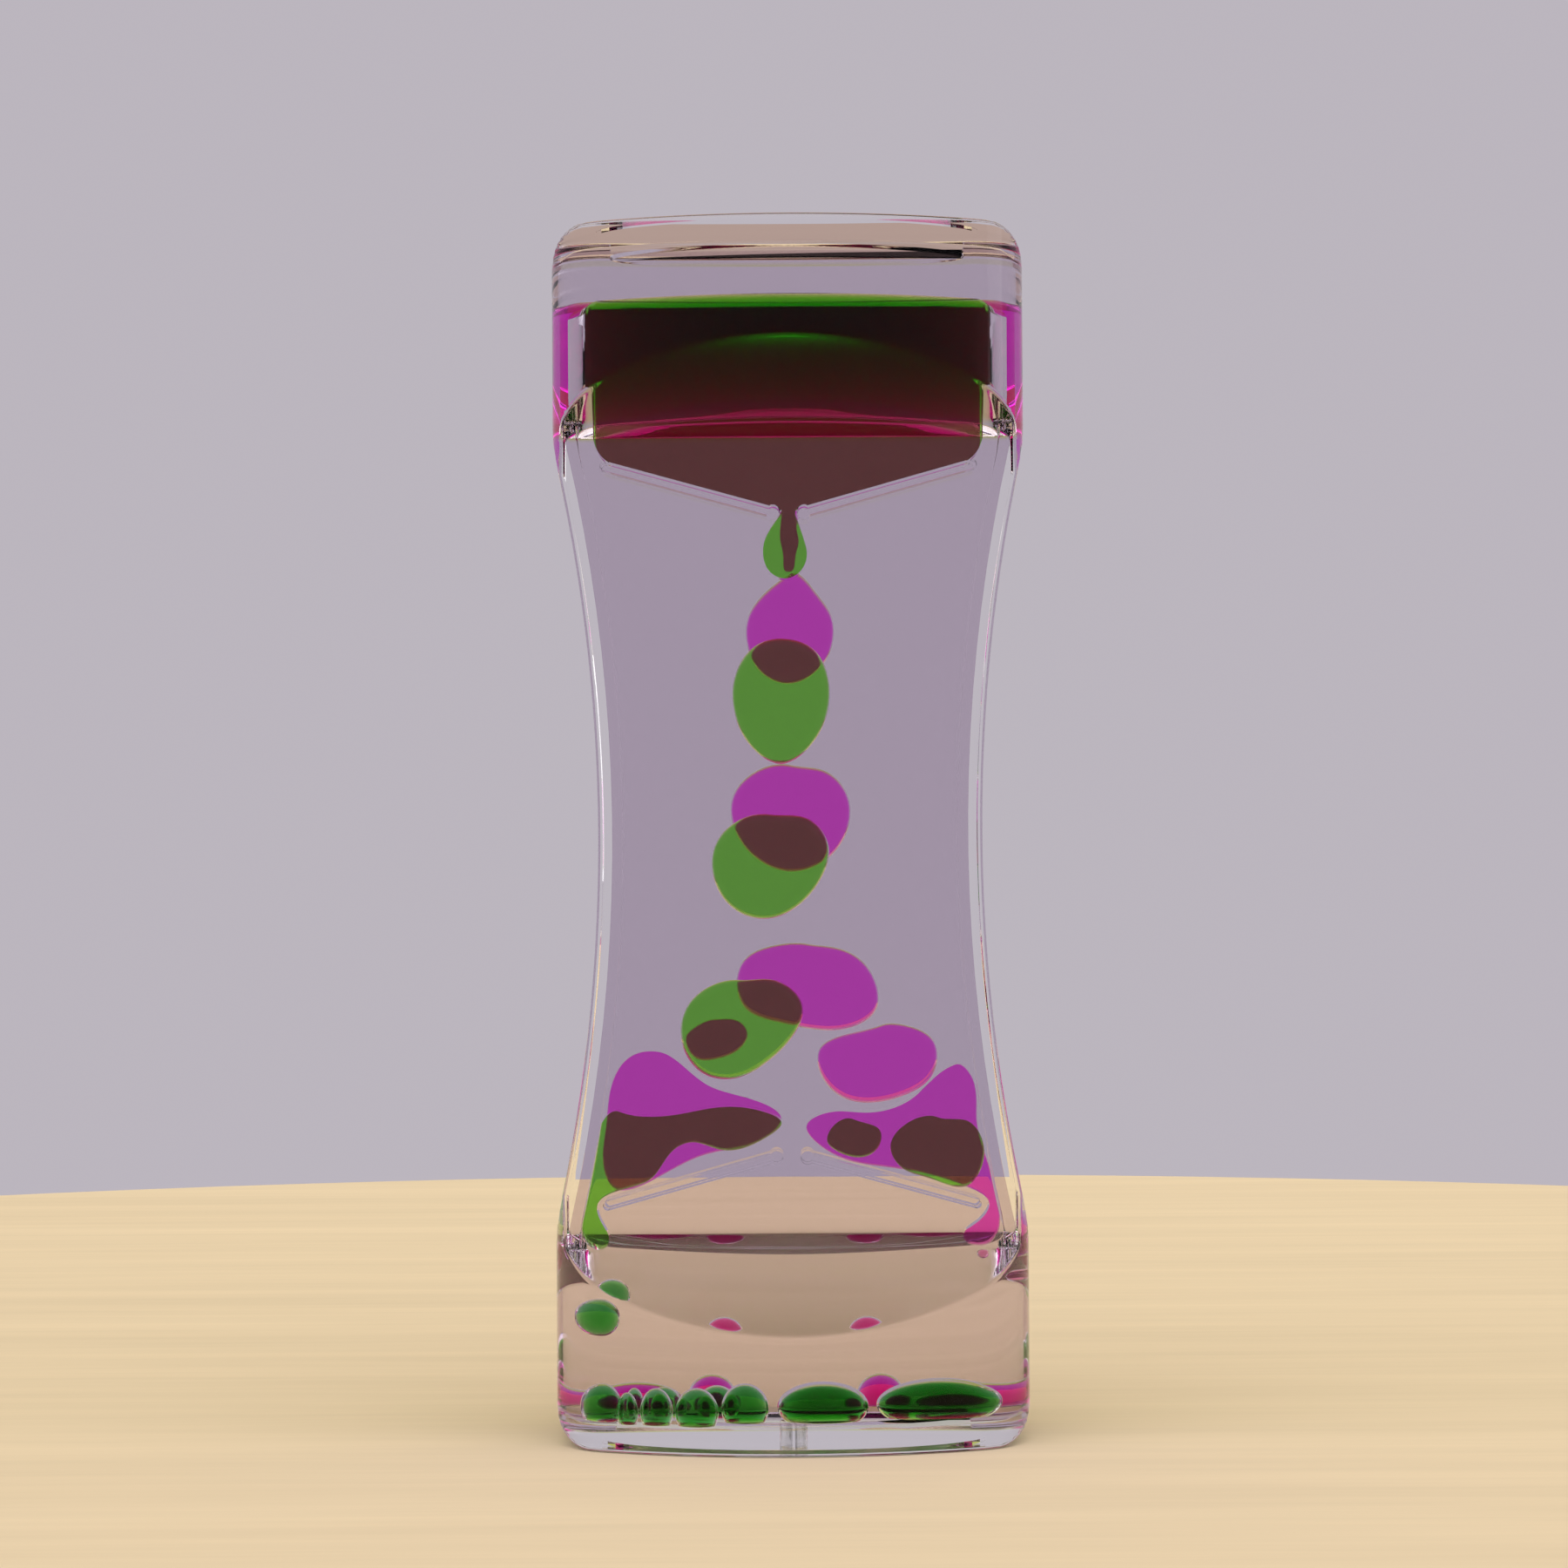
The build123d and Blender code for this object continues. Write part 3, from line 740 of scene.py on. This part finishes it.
class TIMER_OT_liquids(bpy.types.Operator):
    """Makes the dyed liquids and the clear oil"""

    bl_idname = "timer.liquids"
    bl_label = "Liquids"

    def execute(self, context):
        bodies = frame["record"]["behaviour"]["bodies"]
        carrier = {node: name for name, nodes in bodies.items() for node in nodes}
        for node in frame["nodes"]:
            dye = node.split("_")[0]
            if dye not in DYES:
                continue
            mesh = drawn_in(welded_copy(node, f"{node}_skin", LIQUID_SMOOTH), SEAM)
            # Settled beads and the tiny droplet take the darker copies of the dyes, which paint shade into
            # them.
            shade = made_materials[f"{dye}_beads" if node.endswith(("beads", "droplet")) else dye]
            add_piece(f"{node}_liquid", mesh, carrier[node], f"{dye}_liquid", [shade], node)
        for cell in CELLS:
            node = f"{cell}_clear_liquid"
            mesh = drawn_in(welded_copy(node, f"{node}_skin"), SEAM)
            add_piece(f"{cell}_clear_oil", mesh, BODY_NAME, "clear_oil", [made_materials["clear_oil"]],
                      node)
        return {"FINISHED"}


class TIMER_OT_stage(bpy.types.Operator):
    """Makes the floor, the backdrop, the lamp and the camera"""

    bl_idname = "timer.stage"
    bl_label = "Stage"

    def execute(self, context):
        stage = context.scene.timer_stage
        make_floor(stage)
        make_world(context.scene, stage)
        make_lamp(context.scene, stage)
        make_camera(context.scene, stage)
        set_light_paths(context.scene)
        return {"FINISHED"}


# Stage

# Axis of the direction looked in, and from where to where on it the world's colours blend
BEHIND_BLEND = ("Y", -0.15, 0.1)
BACKDROP_BLEND = ("Z", 0.25, 0.6)
FLOOR_BLEND = ("Z", -0.13, -0.15)
SENSOR_WIDTH = 36.0  # millimetres
CLEAR_BOUNCES, GLOSSY_BOUNCES, VOLUME_BOUNCES = 32, 8, 2


def make_floor(stage):
    """Round pale floor with a faint grain across the view."""
    mesh = bpy.data.meshes.new("floor")
    work = bmesh.new()
    bmesh.ops.create_circle(work, cap_ends=True, segments=stage.floor_sides, radius=stage.table_reach)
    bmesh.ops.translate(work, verts=work.verts, vec=(0, 0, -SEAM))
    work.to_mesh(mesh)
    work.free()
    floor = bpy.data.objects.new("floor", mesh)
    bpy.context.scene.collection.objects.link(floor)
    material = new_material("pale_floor")
    shader, tree = shader_of(material), material.node_tree
    place = tree.nodes.new("ShaderNodeTexCoord")
    stretch = tree.nodes.new("ShaderNodeMapping")
    stretch.inputs["Scale"].default_value = stage.grain
    noise = tree.nodes.new("ShaderNodeTexNoise")
    noise.inputs["Scale"].default_value = 1.0
    noise.inputs["Detail"].default_value = stage.grain_detail
    noise.inputs["Roughness"].default_value = stage.grain_roughness
    mix = tree.nodes.new("ShaderNodeMix")
    mix.data_type = "RGBA"
    mix.inputs["A"].default_value = (*[part * (1 - stage.grain_depth) for part in stage.floor], 1.0)
    mix.inputs["B"].default_value = (*stage.floor, 1.0)
    tree.links.new(place.outputs["Object"], stretch.inputs["Vector"])
    tree.links.new(stretch.outputs["Vector"], noise.inputs["Vector"])
    tree.links.new(noise.outputs["Fac"], mix.inputs["Factor"])
    tree.links.new(mix.outputs["Result"], shader.inputs["Base Color"])
    shader.inputs["Roughness"].default_value = stage.floor_roughness
    shader.inputs["Specular IOR Level"].default_value = 0.0
    mesh.materials.append(material)


def make_world(scene, stage):
    """Backdrop of one pale colour over more floor, and soft light above, which is dimmer behind."""
    world = bpy.data.worlds.new("backdrop")
    scene.world = world
    world.use_nodes = True
    tree = world.node_tree
    place = tree.nodes.new("ShaderNodeTexCoord")
    split = tree.nodes.new("ShaderNodeSeparateXYZ")
    tree.links.new(place.outputs["Generated"], split.inputs["Vector"])
    bright = [part * stage.overhead_strength for part in stage.overhead]

    def blend(first, second, axis, start, end):
        ramp = tree.nodes.new("ShaderNodeMapRange")
        ramp.inputs["From Min"].default_value = start
        ramp.inputs["From Max"].default_value = end
        tree.links.new(split.outputs[axis], ramp.inputs["Value"])
        mix = tree.nodes.new("ShaderNodeMix")
        mix.data_type = "RGBA"
        tree.links.new(ramp.outputs["Result"], mix.inputs["Factor"])
        for socket, tone in (("A", first), ("B", second)):
            if isinstance(tone, bpy.types.NodeSocket):
                tree.links.new(tone, mix.inputs[socket])
            else:
                mix.inputs[socket].default_value = (*tone, 1.0)
        return mix.outputs["Result"]

    above = blend(bright, stage.behind, *BEHIND_BLEND)
    wall = blend(stage.backdrop, above, *BACKDROP_BLEND)
    shown = blend(wall, stage.far_floor, *FLOOR_BLEND)
    tree.links.new(shown, tree.nodes["Background"].inputs["Color"])


def make_lamp(scene, stage):
    """Soft box that lights the timer from the right."""
    light = bpy.data.lights.new("side_lamp", "AREA")
    light.shape = "RECTANGLE"
    light.size, light.size_y = stage.lamp_size
    light.energy = stage.lamp_power
    lamp = bpy.data.objects.new("side_lamp", light)
    lamp.location = stage.lamp_place
    aim = Vector((0, 0, BODY_SIZE.z)) - lamp.location
    lamp.rotation_euler = aim.to_track_quat("-Z", "Y").to_euler()
    lamp.visible_camera = False
    scene.collection.objects.link(lamp)


def make_camera(scene, stage):
    """Camera at the photograph's viewing angle."""
    data = bpy.data.cameras.new("camera")
    data.lens = stage.lens
    data.sensor_width = SENSOR_WIDTH
    data.shift_y = stage.camera_shift
    camera = bpy.data.objects.new("camera", data)
    camera.location = (-stage.camera_left, -BODY_SIZE.y / 2 - stage.camera_distance, stage.eye_level)
    tilt = Matrix.Rotation(pi / 2 + stage.camera_tilt, 3, "X")
    camera.rotation_euler = (tilt @ Matrix.Rotation(-stage.camera_roll, 3, "Z")).to_euler()
    scene.collection.objects.link(camera)
    scene.camera = camera


def set_light_paths(scene):
    """Plain colours, and enough bounces to see through all of the nested clear pieces."""
    scene.view_settings.view_transform = "Standard"
    scene.cycles.max_bounces = CLEAR_BOUNCES
    scene.cycles.transmission_bounces = CLEAR_BOUNCES
    scene.cycles.glossy_bounces = GLOSSY_BOUNCES
    scene.cycles.transparent_max_bounces = CLEAR_BOUNCES
    scene.cycles.volume_bounces = VOLUME_BOUNCES


# Add-on

STEPS = ("finishes", "shells", "plugs", "divider", "baffles", "liquids", "stage")


class TIMER_PT_panel(bpy.types.Panel):
    """Lists the steps that build the timer"""

    bl_idname = "TIMER_PT_panel"
    bl_label = "Liquid Motion Timer"
    bl_space_type = "VIEW_3D"
    bl_region_type = "UI"
    bl_category = "Timer"

    def draw(self, context):
        for step in STEPS:
            self.layout.operator(f"timer.{step}")


CLASSES = (TimerBodySizes, TimerFinish, TimerStage, TIMER_OT_finishes, TIMER_OT_shells, TIMER_OT_plugs,
           TIMER_OT_divider, TIMER_OT_baffles, TIMER_OT_liquids, TIMER_OT_stage, TIMER_PT_panel)


def register():
    """Makes the timer's settings, operators and panel known to Blender."""
    for item in CLASSES:
        bpy.utils.register_class(item)
    bpy.types.Scene.timer_body = PointerProperty(type=TimerBodySizes)
    bpy.types.Scene.timer_finish = PointerProperty(type=TimerFinish)
    bpy.types.Scene.timer_stage = PointerProperty(type=TimerStage)


def unregister():
    """Takes them out again."""
    del bpy.types.Scene.timer_stage
    del bpy.types.Scene.timer_finish
    del bpy.types.Scene.timer_body
    for item in reversed(CLASSES):
        bpy.utils.unregister_class(item)


def main():
    """Builds the timer and its stage."""
    register()
    for step in STEPS:
        getattr(bpy.ops.timer, step)()


if __name__ == "__main__":
    main()
